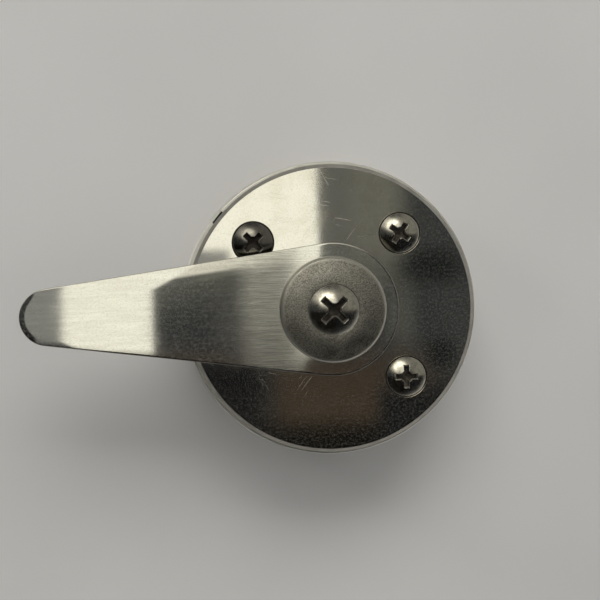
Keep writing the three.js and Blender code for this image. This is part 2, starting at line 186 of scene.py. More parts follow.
class Finish:
    """A material under construction. Each method adds nodes and returns an output to build on."""

    def __init__(self, name):
        self.material = bpy.data.materials.new(name)
        self.material.use_nodes = True
        self.tree = self.material.node_tree
        self.tree.nodes.clear()
        place = self.add("ShaderNodeTexCoord").outputs["Object"]
        self.place = self.vector("MULTIPLY", place, (1 / MM, 1 / MM, 1 / MM))

    def add(self, kind, inputs=None, **settings):
        """A node with its settings and inputs; an input is a value or another node's output."""
        node = self.tree.nodes.new(kind)
        for key, value in settings.items():
            setattr(node, key, value)
        for key, value in (inputs or {}).items():
            if isinstance(value, bpy.types.NodeSocket):
                self.tree.links.new(value, node.inputs[key])
            else:
                node.inputs[key].default_value = value
        return node

    def vector(self, operation, a, b):
        return self.add("ShaderNodeVectorMath", {0: a, 1: b}, operation=operation).outputs[0]

    def math(self, operation, a, b=0.0, c=0.0, clamp=False):
        node = self.add("ShaderNodeMath", {0: a, 1: b, 2: c}, operation=operation, use_clamp=clamp)
        return node.outputs[0]

    def stretched(self, scale, turn=0):
        """The place in millimetres, turned about Z and then scaled along each axis."""
        spin = self.add("ShaderNodeMapping", {"Vector": self.place, "Rotation": (0, 0, math.radians(turn))})
        return self.vector("MULTIPLY", spin.outputs[0], scale)

    def noise(self, where, detail=3.0, roughness=0.55):
        inputs = {"Vector": where, "Scale": 1.0, "Detail": detail, "Roughness": roughness}
        return self.add("ShaderNodeTexNoise", inputs).outputs["Fac"]

    def speckle(self, per_mm, detail=3.0, roughness=0.55):
        """Noise that is alike in every direction, with this many spots in a millimetre."""
        return self.noise(self.stretched((per_mm, per_mm, per_mm)), detail, roughness)

    def span(self, value, low, high, to_low=0.0, to_high=1.0):
        """The value carried from one range to another, smoothly and without overshoot."""
        inputs = {"Value": value, "From Min": low, "From Max": high, "To Min": to_low, "To Max": to_high}
        return self.add("ShaderNodeMapRange", inputs, interpolation_type="SMOOTHSTEP").outputs[0]

    def mix(self, share, first, second):
        """Two colours mixed by a share from 0 to 1."""
        node = self.add("ShaderNodeMix", data_type="RGBA")
        for socket, value in ((0, share), (6, first), (7, second)):
            if isinstance(value, bpy.types.NodeSocket):
                self.tree.links.new(value, node.inputs[socket])
            elif socket == 0:
                node.inputs[socket].default_value = value
            else:
                node.inputs[socket].default_value = (*value, 1.0)
        return node.outputs[2]

    def bump(self, height, depth, base=None):
        """A relief whose height input runs from 0 to 1, over a depth in millimetres."""
        inputs = {"Height": height, "Distance": depth * MM, "Strength": 1.0}
        if base is not None:
            inputs["Normal"] = base
        return self.add("ShaderNodeBump", inputs).outputs[0]

    def reach(self):
        """The distance from the spindle axis, in millimetres."""
        flat = self.vector("MULTIPLY", self.place, (1.0, 1.0, 0.0))
        return self.add("ShaderNodeVectorMath", {0: flat}, operation="LENGTH").outputs["Value"]

    def attribute(self, name):
        return self.add("ShaderNodeAttribute", attribute_name=name).outputs["Fac"]

    def surface(self, **inputs):
        """The closing shader: inputs are Principled inputs, with _ for a space."""
        shader = self.add("ShaderNodeBsdfPrincipled")
        for key, value in inputs.items():
            socket = shader.inputs[key.replace("_", " ")]
            if isinstance(value, bpy.types.NodeSocket):
                self.tree.links.new(value, socket)
            else:
                socket.default_value = value
        self.add("ShaderNodeOutputMaterial", {"Surface": shader.outputs[0]})
        return self.material

    def scratches(self, turns, length, width, rarity):
        """Sparse hairlines, 0 to 1, in a few directions, with their length and width in millimetres."""
        lines = None
        for turn in turns:
            streak = self.noise(self.stretched((1 / length, 1 / width, 1 / length), turn), detail=1.0)
            patch = self.noise(self.stretched((0.11, 0.11, 0.11), turn), detail=1.0)
            drawn = self.span(streak, rarity, rarity + 0.05)
            line = self.math("MULTIPLY", drawn, self.span(patch, 0.5, 0.62))
            lines = line if lines is None else self.math("MAXIMUM", lines, line)
        return lines


# ---------------------------------------------------------------- metals and soft materials


def polished_steel():
    """Mirror-polished sheet: a fine grain of pits, faint clouds, hairlines and a few dull specks.

    Tiny pricks where the surface is a little less metallic break up what it mirrors.
    """
    warm, clouded = (0.68, 0.655, 0.59), (0.63, 0.60, 0.52)
    grained, pitted = (0.50, 0.475, 0.41), (0.34, 0.32, 0.28)
    finish = Finish("polished_steel")
    haze = finish.span(finish.speckle(0.22, detail=5.0, roughness=0.6), 0.42, 0.72)
    grain = finish.speckle(3.2, detail=4.0, roughness=0.7)
    lines = finish.scratches((12, 64, 128, 171), length=11.0, width=0.055, rarity=0.715)
    specks = finish.span(finish.speckle(1.9, detail=2.0), 0.72, 0.77)
    pricks = finish.span(finish.speckle(1.9, detail=3.0, roughness=0.75), 0.44, 0.68)
    rough = finish.span(grain, 0.3, 0.7, 0.022, 0.042)
    rough = finish.math("MULTIPLY_ADD", haze, 0.012, rough)
    rough = finish.math("MULTIPLY_ADD", lines, 0.06, rough)
    rough = finish.math("MULTIPLY_ADD", specks, 0.14, rough)
    metal = finish.math("MULTIPLY_ADD", pricks, -0.09, 1.0)
    colour = finish.mix(haze, warm, clouded)
    colour = finish.mix(finish.span(grain, 0.55, 0.8), colour, grained)
    colour = finish.mix(specks, colour, pitted)
    relief = finish.bump(finish.speckle(0.06, detail=1.0), 0.004)
    relief = finish.bump(grain, 0.0003, relief)
    relief = finish.bump(lines, 0.0005, relief)
    return finish.surface(Base_Color=colour, Metallic=metal, Roughness=rough, Normal=relief)


def satin_steel():
    """The drum's satin metal: fine lines round the wall, soft stains, and a sheen at a low angle."""
    clean, stained, lined = (0.86, 0.845, 0.785), (0.77, 0.75, 0.69), (0.60, 0.58, 0.53)
    finish = Finish("satin_steel")
    stains = finish.noise(finish.stretched((0.14, 0.14, 0.3)), detail=5.0)
    rings = finish.noise(finish.stretched((0.10, 0.10, 5.0)), detail=4.0, roughness=0.6)
    grain = finish.noise(finish.stretched((2.5, 2.5, 5.0)), detail=4.0, roughness=0.65)
    colour = finish.mix(finish.span(stains, 0.4, 0.8), clean, stained)
    colour = finish.mix(finish.span(rings, 0.45, 0.72), colour, lined)
    rough = finish.span(grain, 0.3, 0.7, 0.30, 0.40)
    relief = finish.bump(rings, 0.0016)
    relief = finish.bump(grain, 0.0010, relief)
    return finish.surface(
        Base_Color=colour, Metallic=0.97, Roughness=rough, Normal=relief,
        Sheen_Weight=0.65, Sheen_Roughness=0.18, Sheen_Tint=(1.0, 0.98, 0.90, 1.0),
    )


def edge_steel():
    """A cut edge, matte beside a polished or brushed face."""
    clean, soiled = (0.44, 0.425, 0.385), (0.33, 0.32, 0.285)
    finish = Finish("plate_edge_steel")
    grain = finish.speckle(5.0, detail=4.0)
    colour = finish.mix(finish.span(finish.speckle(0.25, detail=4.0), 0.4, 0.7), clean, soiled)
    rough = finish.span(grain, 0.3, 0.7, 0.31, 0.42)
    relief = finish.bump(grain, 0.004)
    return finish.surface(Base_Color=colour, Metallic=1.0, Roughness=rough, Normal=relief)


def brushed_steel():
    """Stainless buffed bright along the arm, over brushing that still shows near the hub."""
    warm, grey = (0.68, 0.66, 0.60), (0.62, 0.60, 0.54)
    grained, streaked = (0.46, 0.44, 0.39), (0.31, 0.295, 0.25)
    finish = Finish("brushed_steel")
    fine = finish.noise(finish.stretched((0.08, 9.0, 9.0)), detail=3.0, roughness=0.6)
    broad = finish.noise(finish.stretched((0.06, 1.3, 1.3)), detail=3.0)
    grain = finish.noise(finish.stretched((2.6, 3.4, 3.4)), detail=4.0, roughness=0.7)
    rubbed = finish.speckle(0.25, detail=4.0)
    along = finish.add("ShaderNodeSeparateXYZ", {0: finish.place}).outputs[0]
    neck = finish.math("MULTIPLY_ADD", rubbed, 1.5, along)
    towards_hub, past_washer = finish.span(neck, -29.0, -11.5), finish.span(neck, -12.0, -3.0, 1.0, 0.0)
    hub = finish.math("MULTIPLY", towards_hub, past_washer)
    rough = finish.span(fine, 0.25, 0.75, 0.022, 0.040)
    rough = finish.math("MULTIPLY_ADD", hub, 0.20, rough)
    rough = finish.math("MULTIPLY_ADD", finish.span(rubbed, 0.5, 0.75), 0.012, rough)
    points = finish.noise(finish.stretched((1.8, 2.1, 2.1)), detail=3.0, roughness=0.75)
    pricks = finish.span(points, 0.44, 0.68)
    metal = finish.math("MULTIPLY_ADD", pricks, -0.14, 1.0)
    colour = finish.mix(finish.span(broad, 0.35, 0.65), warm, grey)
    colour = finish.mix(finish.span(grain, 0.5, 0.8), colour, grained)
    strength = finish.math("MULTIPLY_ADD", hub, 0.66, 0.08)
    streaks = finish.math("MULTIPLY", strength, finish.span(fine, 0.38, 0.64))
    colour = finish.mix(streaks, colour, streaked)
    relief = finish.bump(fine, 0.00015)
    relief = finish.bump(grain, 0.0003, relief)
    tangent = finish.add("ShaderNodeTangent", direction_type="UV_MAP", uv_map="along").outputs[0]
    return finish.surface(
        Base_Color=colour, Metallic=metal, Roughness=rough, Normal=relief,
        Anisotropic=0.35, Tangent=tangent,
    )


def blasted_steel():
    """Bead-blasted steel: coarse even pits with a dull glitter, and a painted highlight: a lighter colour
    on the outer rim.
    """
    peak, pit, stained, rubbed = (
        (0.49, 0.47, 0.42), (0.165, 0.158, 0.14), (0.30, 0.28, 0.24), (0.66, 0.64, 0.58)
    )
    finish = Finish("blasted_steel")
    pits = finish.speckle(3.8, detail=4.0, roughness=0.75)
    broad = finish.speckle(0.35, detail=4.0)
    colour = finish.mix(finish.span(pits, 0.38, 0.62), peak, pit)
    colour = finish.mix(finish.span(broad, 0.5, 0.8, 0.0, 0.4), colour, stained)
    # Painted highlight: towards the rounded outer rim the colour lightens, standing in for the rim catching
    # the light.
    rim = finish.span(finish.reach(), 10.7, 11.5)
    colour = finish.mix(finish.math("MULTIPLY", rim, 0.6), colour, rubbed)
    rough = finish.span(broad, 0.3, 0.7, 0.34, 0.46)
    relief = finish.bump(pits, 0.018)
    return finish.surface(Base_Color=colour, Metallic=1.0, Roughness=rough, Normal=relief)


def screw_steel(name, bright, dull):
    """Screw steel: small dents on the dome, and brown soil with painted shade in the recess, darker with
    depth.
    """
    soil_and_shade_brown = (0.020, 0.014, 0.008)
    finish = Finish(name)
    dents = finish.speckle(1.1, detail=5.0, roughness=0.6)
    grain = finish.speckle(5.0)
    # Soil and painted shade: the recess darkens to brown and loses its metal with depth.
    soil_and_shade = finish.attribute("recess")
    patchy_soil_and_shade = finish.math("MULTIPLY", soil_and_shade, finish.span(dents, 0.25, 0.75, 0.85, 1.0), clamp=True)
    colour = finish.mix(finish.span(dents, 0.4, 0.7), bright, dull)
    colour = finish.mix(patchy_soil_and_shade, colour, soil_and_shade_brown)
    metal = finish.math("SUBTRACT", 1.0, patchy_soil_and_shade, clamp=True)
    rough = finish.span(dents, 0.3, 0.7, 0.15, 0.25)
    rough = finish.math("MULTIPLY_ADD", patchy_soil_and_shade, 0.45, rough)
    relief = finish.bump(dents, 0.008)
    relief = finish.bump(grain, 0.0015, relief)
    return finish.surface(
        Base_Color=colour, Metallic=metal, Roughness=rough, Normal=relief, Specular_IOR_Level=0.3,
    )


def lathe_turned(name, bright, dark, rough_low, rough_high, pitch=0.22):
    """A turned metal: fine rings round the spindle axis over a slightly uneven tone."""
    finish = Finish(name)
    wobble = finish.speckle(0.6)
    turns = finish.math("MULTIPLY", finish.reach(), math.tau / pitch)
    phase = finish.math("MULTIPLY_ADD", wobble, 1.5, turns)
    rings = finish.span(finish.math("SINE", phase), -1.0, 1.0)
    colour = finish.mix(wobble, dark, bright)
    rough = finish.span(wobble, 0.3, 0.7, rough_low, rough_high)
    relief = finish.bump(rings, 0.004)
    return finish.surface(Base_Color=colour, Metallic=1.0, Roughness=rough, Normal=relief)


def soft_material(name, light, dark, rough, grain_size, relief_depth):
    """Rubber or nylon: a fine grain with a slightly mottled tone."""
    finish = Finish(name)
    grain = finish.speckle(1 / grain_size, detail=4.0)
    broad = finish.speckle(0.4)
    colour = finish.mix(finish.span(broad, 0.35, 0.65), dark, light)
    relief = finish.bump(grain, relief_depth)
    return finish.surface(Base_Color=colour, Metallic=0.0, Roughness=rough, Normal=relief)


METALS = {
    "polished_steel": polished_steel(),
    "brushed_steel": brushed_steel(),
    "blasted_steel": blasted_steel(),
    "screw_steel": screw_steel("screw_steel", (0.60, 0.575, 0.51), (0.46, 0.435, 0.38)),
    "machined_steel": lathe_turned("machined_steel", (0.60, 0.60, 0.59), (0.48, 0.48, 0.47), 0.28, 0.42),
    "spring_steel": lathe_turned("spring_steel", (0.34, 0.35, 0.37), (0.24, 0.25, 0.27), 0.25, 0.4, 0.4),
    "bronze": lathe_turned("bronze", (0.66, 0.46, 0.22), (0.50, 0.34, 0.16), 0.30, 0.5, 0.3),
    "rubber": soft_material("rubber", (0.028, 0.028, 0.029), (0.016, 0.016, 0.017), 0.72, 0.15, 0.02),
    "nylon": soft_material("nylon", (0.72, 0.70, 0.63), (0.62, 0.60, 0.53), 0.45, 0.3, 0.008),
}
# A darker screw steel: partly a dull film, partly painted shade that dims the screw's highlight.
TARNISHED_AND_SHADED_STEEL = screw_steel("tarnished_and_shaded_screw_steel", (0.25, 0.24, 0.215), (0.20, 0.19, 0.17))
EDGE_STEEL = edge_steel()
SATIN_STEEL = satin_steel()
# A near-black painted shade, for the walls of the pry notch and of the screw seats.
PAINTED_SHADE_STEEL = soft_material("painted_shade_steel", (0.020, 0.017, 0.013), (0.010, 0.009, 0.008), 0.6, 0.3, 0.01)

# ---------------------------------------------------------------- housing, gasket and cover plate

COVER_SCREWS = ("cover_screw_1", "cover_screw_2", "cover_screw_3")
COVER_SCREW_TURNS = (45, 55, 0)
SHANK_RADIUS = 2.4 * MM
SEAT_GAP = 0.22 * MM
SEAT_DEPTH = 2.15 * MM
HAIR = 0.01 * MM  # what counts as touching when polygons are picked by their place

DRUM_FRONT_RADIUS = PLATE_RADIUS + 0.7 * MM
CAVITY_RADIUS = 29.5 * MM
DRUM_FLOOR = DRUM_BACK + 4.0 * MM
BORE_RADIUS = 9.05 * MM
BOSS_RADIUS = 11.5 * MM
PILLAR_RADIUS = 5.0 * MM
RIB_HALF_WIDTH = 2.5 * MM
THREAD_DEPTH = 12.0 * MM
FIXING_TURNS = (0, 90, 180, 270)
FIXING_CIRCLE = 23.5 * MM
FIXING_HOLE_RADIUS = 2.75 * MM
FIXING_HEAD_RADIUS = 5.2 * MM
FIXING_HEAD_DEPTH = 2.45 * MM

# The pry notch, and how far out from the spindle axis its floor carries the painted shade.
NOTCH_TURN = 139.8
NOTCH_LENGTH = 3.3 * MM
NOTCH_DEPTH = 1.3 * MM
NOTCH_HEIGHT = 1.2 * MM
NOTCH_SHADE_EDGE = PLATE_RADIUS + 0.40 * MM

GASKET_WIDTH = 2.55 * MM
PLATE_BORE_RADIUS = 8.55 * MM
PLATE_CHAMFER = 0.8 * MM


def around_axis(node):
    """The angle and the reach of a node's middle, seen along the spindle."""
    middle = extent(node)[0]
    return math.degrees(math.atan2(middle.y, middle.x)), math.hypot(middle.x, middle.y)


def drum_shell():
    """The drum's wall, floor and bearing boss, as one turned shape."""
    boss_top = extent("rear_bush")[3] - 1.0 * MM
    corners = [
        (BORE_RADIUS, DRUM_BACK, 0.2 * MM),
        (DRUM_BACK_RADIUS, DRUM_BACK, 0.9 * MM),
        (DRUM_FRONT_RADIUS, DRUM_FRONT, 0.3 * MM),
        (CAVITY_RADIUS, DRUM_FRONT, 0.15 * MM),
        (CAVITY_RADIUS, DRUM_FLOOR, 1.0 * MM),
        (BOSS_RADIUS, DRUM_FLOOR, 0.6 * MM),
        (BOSS_RADIUS, boss_top, 0.2 * MM),
        (BORE_RADIUS, boss_top, 0.2 * MM),
    ]
    return turned("drum", rounded(corners), sides=240)


def screw_pillar(node):
    """A pillar that takes a cover screw, and the rib that ties it to the wall."""
    angle, reach = around_axis(node)
    low = DRUM_FLOOR - 1.0 * MM
    rod = [(0, low), (PILLAR_RADIUS, low), (PILLAR_RADIUS, DRUM_FRONT), (0, DRUM_FRONT)]
    rib_low = (reach, -RIB_HALF_WIDTH, low)
    rib_high = (CAVITY_RADIUS + 1.0 * MM, RIB_HALF_WIDTH, DRUM_FRONT)
    pillar = turned("pillar", rod, sides=64, at=extent(node)[0][:2])
    return [pillar, box("rib", rib_low, rib_high, angle)]


def tapped_hole(node):
    """The tool that cuts the hole for a cover screw."""
    bottom, top = DRUM_FRONT - THREAD_DEPTH, DRUM_FRONT + MM
    bolt = SHANK_RADIUS + 0.15 * MM
    outline = [(0, bottom), (bolt, bottom), (bolt, top), (0, top)]
    return turned("tapped_hole", outline, sides=48, at=extent(node)[0][:2])


def fixing_hole(angle):
    """The tool that cuts a countersunk hole in the drum's floor."""
    way = math.radians(angle)
    outline = [
        (0, -MM),
        (FIXING_HOLE_RADIUS, -MM),
        (FIXING_HOLE_RADIUS, DRUM_FLOOR - FIXING_HEAD_DEPTH),
        (FIXING_HEAD_RADIUS, DRUM_FLOOR),
        (FIXING_HEAD_RADIUS, DRUM_FLOOR + 2 * MM),
        (0, DRUM_FLOOR + 2 * MM),
    ]
    spot = (FIXING_CIRCLE * math.cos(way), FIXING_CIRCLE * math.sin(way))
    return turned("fixing_hole", outline, sides=64, at=spot)


def notch_cuts():
    """The tools that cut the pry notch, in two, so that its floor splits where the painted shade ends."""
    deepest, outside = DRUM_FRONT_RADIUS - NOTCH_DEPTH, DRUM_FRONT_RADIUS + NOTCH_DEPTH
    tools = []
    for inner, outer in ((deepest, NOTCH_SHADE_EDGE), (NOTCH_SHADE_EDGE, outside)):
        low = (inner, -NOTCH_LENGTH / 2, DRUM_FRONT - NOTCH_HEIGHT)
        high = (outer, NOTCH_LENGTH / 2, DRUM_FRONT + MM)
        tools.append(box("pry_notch", low, high, NOTCH_TURN))
    return tools


def housing():
    """The drum, with its floor, bearing boss, screw pillars, fixing holes and pry notch."""
    drum = drum_shell()
    carve(drum, [piece for node in COVER_SCREWS for piece in screw_pillar(node)], "UNION")
    holes = [tapped_hole(node) for node in COVER_SCREWS]
    holes += [fixing_hole(angle) for angle in FIXING_TURNS]
    carve(drum, holes + notch_cuts())
    return smooth(drum)


def mark_drum(drum):
    """Gives the walls and the inner floor of the pry notch a near-black painted shade, so that the notch
    reads as a dark slot.
    """
    drum.data.materials.append(PAINTED_SHADE_STEEL)
    turn = math.radians(-NOTCH_TURN)
    outer = DRUM_FRONT_RADIUS - 0.05 * MM
    inner = outer - NOTCH_DEPTH - 0.1 * MM
    for polygon in drum.data.polygons:
        spot = polygon.center
        out = spot.x * math.cos(turn) - spot.y * math.sin(turn)
        along = spot.x * math.sin(turn) + spot.y * math.cos(turn)
        cut = abs(along) < NOTCH_LENGTH / 2 + HAIR and inner < out < outer
        # Painted shade: the inner floor and the walls of the notch go near-black.
        soiled = out < NOTCH_SHADE_EDGE or abs(polygon.normal.z) < 0.5
        if cut and soiled and spot.z > DRUM_FRONT - NOTCH_HEIGHT - HAIR:
            polygon.material_index = 1


def gasket():
    """The flat ring that seals the joint between the drum and the plate."""
    inner = GASKET_RADIUS - GASKET_WIDTH
    corners = [
        (inner, GASKET_BACK, 0.08 * MM),
        (GASKET_RADIUS, GASKET_BACK, 0.12 * MM),
        (GASKET_RADIUS, GASKET_FRONT, 0.12 * MM),
        (inner, GASKET_FRONT, 0.08 * MM),
    ]
    return smooth(turned("joint_gasket", rounded(corners), sides=240))


def screw_seat(head_radius, cone_depth, mouth, at):
    """The tool that cuts a countersink, with a small bright break at its mouth."""
    hole = SHANK_RADIUS + 0.2 * MM
    wide = head_radius + SEAT_GAP
    edge_break = 0.10 * MM
    low, high = mouth - 6 * MM, mouth + 2 * MM
    outline = [
        (0, low),
        (hole, low),
        (hole, mouth - cone_depth - SEAT_GAP),
        (wide, mouth - edge_break),
        (wide + edge_break, mouth),
        (wide + edge_break, high),
        (0, high),
    ]
    return turned("screw_seat", outline, sides=96, at=at)


def cover_plate():
    """The polished disc, with its matte turned edge and three countersinks."""
    corners = [
        (PLATE_BORE_RADIUS, PLATE_BACK, 0.1 * MM),
        (PLATE_RADIUS, PLATE_BACK, 0.15 * MM),
        (PLATE_RADIUS, PLATE_FACE - PLATE_CHAMFER, 0.35 * MM),
        (PLATE_RADIUS - PLATE_CHAMFER, PLATE_FACE, 0.12 * MM),
        (PLATE_BORE_RADIUS, PLATE_FACE, 0.1 * MM),
    ]
    plate = turned("polished_cover", rounded(corners), sides=320)
    seats = []
    for node in COVER_SCREWS:
        middle, head, _, _ = extent(node)
        seats.append(screw_seat(head, SEAT_DEPTH, PLATE_FACE, middle[:2]))
    carve(plate, seats)
    return smooth(plate)


def mark_plate(plate):
    """Gives the rim and chamfer the matte edge finish, and the walls of the seats a near-black painted
    shade, which darkens the gap round each screw head.
    """
    plate.data.materials.append(EDGE_STEEL)
    plate.data.materials.append(PAINTED_SHADE_STEEL)
    face_edge = PLATE_RADIUS - PLATE_CHAMFER - 0.04 * MM
    seat_reach = 5 * MM
    seats = [extent(node)[0] for node in COVER_SCREWS]
    for polygon in plate.data.polygons:
        spot = polygon.center
        if math.hypot(spot.x, spot.y) > face_edge:
            polygon.material_index = 1
        elif spot.z < PLATE_FACE - 0.1 * MM and polygon.normal.z < 0.95:
            # Painted shade: the steep walls of each seat go near-black.
            if any(math.hypot(spot.x - seat.x, spot.y - seat.y) < seat_reach for seat in seats):
                polygon.material_index = 2


# ---------------------------------------------------------------- screws

# A cross recess: how steep its walls, the ends of its wings, its throat and its floor are, as depth
# over distance, and the widths over which its corners are softened.
WALL_SLOPE = 7.0
TIP_SLOPE = 2.3
THROAT_SLOPE = 0.7 * WALL_SLOPE
FLOOR_SLOPE = 0.35
THROAT_WIDTH = 1.05  # from the middle to the throat's wall, in slot widths
WING_SOFT = 0.15 * MM
FLOOR_SOFT = 0.3 * MM
RIM_SOFT = 0.14 * MM

SOIL_AND_SHADE_FROM = 0.1  # the share of a recess's depth where its soil and painted shade begin
SOIL_AND_SHADE_GAIN = 3.0  # how fast the soil and painted shade thicken below that
RING_SPACING = 0.085 * MM  # between the rings of points that shape a head


def soft_max(a, b, width):
    """The larger of two values, with the corner between them rounded over a width."""
    blend = max(width - abs(a - b), 0.0) / width
    return max(a, b) + blend * blend * width / 4


def recess_depth(x, y, span, slot, bite):
    """How deep a cross recess is at a place on the head, with soft rims."""
    depth = -1.0
    for along, across in ((abs(x), abs(y)), (abs(y), abs(x))):
        side = (slot / 2 - across) * WALL_SLOPE
        tip = (span / 2 - along) * TIP_SLOPE
        depth = max(depth, -soft_max(-side, -tip, WING_SOFT))
    throat = (slot * THROAT_WIDTH - (abs(x) + abs(y)) / math.sqrt(2)) * THROAT_SLOPE
    depth = max(depth, throat)
    floor = bite - FLOOR_SLOPE * math.hypot(x, y)
    depth = -soft_max(-depth, -floor, FLOOR_SOFT)
    return soft_max(depth, 0.0, RIM_SOFT)


def screw(name, node, turn, cone, dome, shank, span, slot, bite):
    """A raised countersunk screw with a cross recess, made as one closed surface.

    The head is a cone below its rim and a dome above it. The recess has a span from wing to wing, a
    slot as wide as a wing, and a bite as deep as its middle.
    """
    middle, head, bottom, top = extent(node)
    rim = top - dome
    ball = (head * head + dome * dome) / (2 * dome)
    angle = math.radians(turn)

    def local(x, y):
        return x * math.cos(angle) + y * math.sin(angle), y * math.cos(angle) - x * math.sin(angle)

    def crown(x, y):
        height = math.sqrt(ball * ball - x * x - y * y) - (ball - dome)
        return rim + height - recess_depth(*local(x, y), span, slot, bite)

    edge = 0.14 * MM
    below = rounded([
        (0, bottom, 0),
        (shank, bottom, 0.6 * MM),
        (shank, rim - cone, 0.3 * MM),
        (head, rim - edge, 0.05 * MM),
    ])
    rings = round(head / RING_SPACING)
    inner = [(head - 0.03 * MM) * (1 - ring / rings) for ring in range(rings + 1)]
    outline = below + [(head, rim - edge * 0.3)] + [(radius, crown) for radius in inner]
    piece = turned(name, outline, sides=192, at=middle[:2])
    # The recess attribute carries soil and painted shade, growing with the recess's depth.
    soil_and_shade = piece.data.attributes.new("recess", "FLOAT", "POINT")
    for index, vertex in enumerate(piece.data.vertices):
        x, y = local(vertex.co.x - middle.x, vertex.co.y - middle.y)
        inside = vertex.co.z > rim - cone and math.hypot(x, y) < head * 0.9
        share = recess_depth(x, y, span, slot, bite) / bite if inside else 0.0
        soil_and_shade.data[index].value = min(max((share - SOIL_AND_SHADE_FROM) * SOIL_AND_SHADE_GAIN, 0.0), 1.0)
    return smooth(piece, sharp_above=60)


def cover_screw(number):
    """One of the cover's three screws, with its cross turned as it was left."""
    node = COVER_SCREWS[number]
    return screw(
        node + "_fine", node, COVER_SCREW_TURNS[number], cone=2.1 * MM, dome=1.2 * MM,
        shank=SHANK_RADIUS, span=5.1 * MM, slot=1.2 * MM, bite=1.9 * MM,
    )


def centre_screw():
    """The larger screw that clamps the lever on the spindle."""
    return screw(
        "lever_screw", "centre_screw", 45, cone=2.6 * MM, dome=1.6 * MM,
        shank=2.45 * MM, span=7.2 * MM, slot=1.42 * MM, bite=2.7 * MM,
    )


# ---------------------------------------------------------------- lever and hub

LEVER_THICKNESS = 3.0 * MM
LEVER_TIP_RADIUS = 6.25 * MM
LEVER_BEND_AT = 16.8 * MM  # the middle of the bend, from the spindle axis
LEVER_BEND_HALF = 5.0 * MM  # how far the bend reaches to each side of its middle
LEVER_RISE = math.tan(math.radians(3.6))
LEVER_FILLET = 0.15 * MM
FILLET_STEPS = 6
ROLL_STEPS = 14
SPINDLE_SQUARE = 9.15 * MM

# How far the top face rolls off: along every edge, and added to that on the arm's far edge and tip.
EDGE_ROLL = 0.004 * MM
FAR_EDGE_ROLL = 0.25 * MM
TIP_ROLL = 0.05 * MM
ROLL_WIDTH = 4.2 * MM
TIP_ROLL_WIDTH = 1.4 * MM
UV_SPAN = 100 * MM  # the length that one unit of the brushing's UV map stands for


def eased(value, low, high):
    """0 below a range and 1 above it, smoothly."""
    share = min(max((value - low) / (high - low), 0.0), 1.0)
    return share * share * (3 - 2 * share)


def lever_outline(hub, length, touch):
    """The lever seen from above: (x, y, angle of the side's normal), counterclockwise from the hub.

    The straight sides touch both round ends where the normal's angle is touch.
    """
    hub_steps, side_steps, tip_steps = 56, 90, 30
    half = []
    for step in range(hub_steps):
        angle = touch * step / hub_steps
        half.append((hub * math.cos(angle), hub * math.sin(angle), angle))
    start = Vector((hub * math.cos(touch), hub * math.sin(touch)))
    tip = Vector((-length, 0))
    end = tip + LEVER_TIP_RADIUS * Vector((math.cos(touch), math.sin(touch)))
    for step in range(side_steps):
        spot = start.lerp(end, step / side_steps)
        half.append((spot.x, spot.y, touch))
    for step in range(tip_steps + 1):
        angle = touch + (math.pi - touch) * step / tip_steps
        x = tip.x + LEVER_TIP_RADIUS * math.cos(angle)
        half.append((x, LEVER_TIP_RADIUS * math.sin(angle), angle))
    return half + [(x, -y, -angle) for x, y, angle in reversed(half[1:-1])]


def lever_rise(x):
    """How far the bar has climbed at x: flat at the hub, then straight, with a soft bend."""
    past = -x - LEVER_BEND_AT
    if past < -LEVER_BEND_HALF:
        return 0.0
    if past < LEVER_BEND_HALF:
        return LEVER_RISE * (past + LEVER_BEND_HALF) ** 2 / (4 * LEVER_BEND_HALF)
    return LEVER_RISE * past


def lever_edge(x, angle, touch):
    """The (inset, height) steps from the bottom corner of the bar to the flat of its top face."""
    at_tip = eased(-x, 40 * MM, 60 * MM)
    on_arm = eased(-x, 3 * MM, 16 * MM) * eased(x, -56 * MM, -38 * MM)
    roll_width = ROLL_WIDTH + (TIP_ROLL_WIDTH - ROLL_WIDTH) * at_tip
    drop = EDGE_ROLL + TIP_ROLL * eased(abs(angle), touch + 0.25, touch + 0.8)
    if angle > 0:
        drop += FAR_EDGE_ROLL * on_arm
    steps = []
    for base, first in ((LEVER_FILLET, -90), (LEVER_THICKNESS - drop - LEVER_FILLET, 0)):
        for step in range(FILLET_STEPS + 1):
            bend = math.radians(first + 90 * step / FILLET_STEPS)
            steps.append((LEVER_FILLET * (1 - math.cos(bend)), base + LEVER_FILLET * math.sin(bend)))
    for step in range(1, ROLL_STEPS + 1):
        share = step / ROLL_STEPS
        inset = LEVER_FILLET + (roll_width - LEVER_FILLET) * share
        steps.append((inset, LEVER_THICKNESS - drop * (1 - share) ** 2))
    return steps


def lever_faces(count, rows):
    """The faces between the columns of points round the bar, and the strips that close it."""
    faces = []
    for index in range(count):
        after = (index + 1) % count
        for row in range(rows - 1):
            low, high = index * rows + row, after * rows + row
            faces.append((low, high, high + 1, low + 1))
    for index in range(count // 2):
        strip = (index, index + 1, count - index - 1, (count - index) % count)
        for row, flip in ((rows - 1, False), (0, True)):
            face = tuple(dict.fromkeys(corner * rows + row for corner in strip))
            faces.append(tuple(reversed(face)) if flip else face)
    return faces


